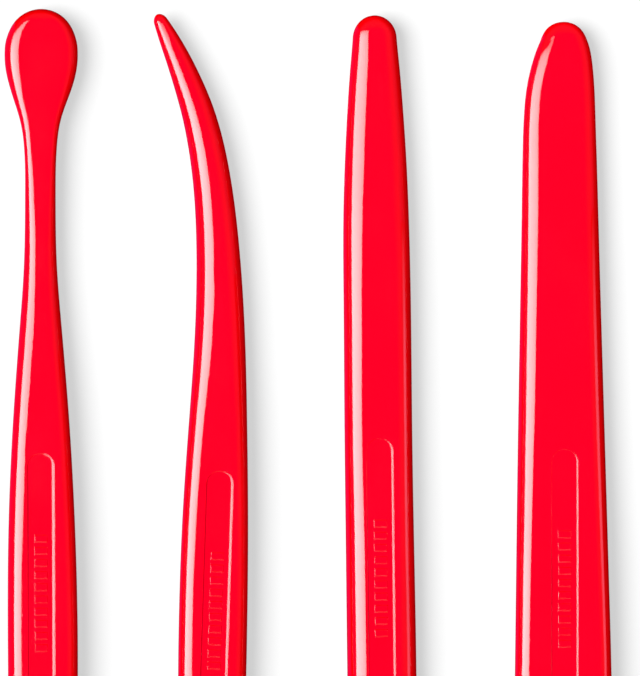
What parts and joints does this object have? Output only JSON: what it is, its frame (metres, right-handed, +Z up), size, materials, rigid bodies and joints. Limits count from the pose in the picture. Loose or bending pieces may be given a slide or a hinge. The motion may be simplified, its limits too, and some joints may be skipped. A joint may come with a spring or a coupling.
{
  "type": "modelling tool set",
  "caption": "Set of separate double-ended gloss plastic clay modelling tools: a round paddle, a curved point, a blunt stick and a broad leaf blade, each with a recessed grip slot.",
  "frame": {"origin": "centre of the set's bounding box on the table the tools lie on", "axes": "+X across the set from the paddle tool to the blade tool, +Y along the tools towards the paddle, curved point, blunt nose and leaf blade, +Z up out of the grip slots"},
  "size_m": [0.0852, 0.1809, 0.0058],
  "materials": {
    "red_plastic": "high-gloss moulded red"
  },
  "bodies": {
    "broad_blade": {"broad_blade_tool": "red_plastic"},
    "blunt_stick": {"blunt_stick_tool": "red_plastic"},
    "curved_point": {"curved_point_tool": "red_plastic"},
    "round_paddle": {"round_paddle_tool": "red_plastic"}
  },
  "joints": [
    {"name": "blunt_stick_lift", "type": "slide", "parent": "broad_blade", "child": "blunt_stick", "axis": [0, 0, 1], "range_m": [0, 0.06]},
    {"name": "curved_point_lift", "type": "slide", "parent": "broad_blade", "child": "curved_point", "axis": [0, 0, 1], "range_m": [0, 0.06]},
    {"name": "round_paddle_lift", "type": "slide", "parent": "broad_blade", "child": "round_paddle", "axis": [0, 0, 1], "range_m": [0, 0.06]}
  ]
}
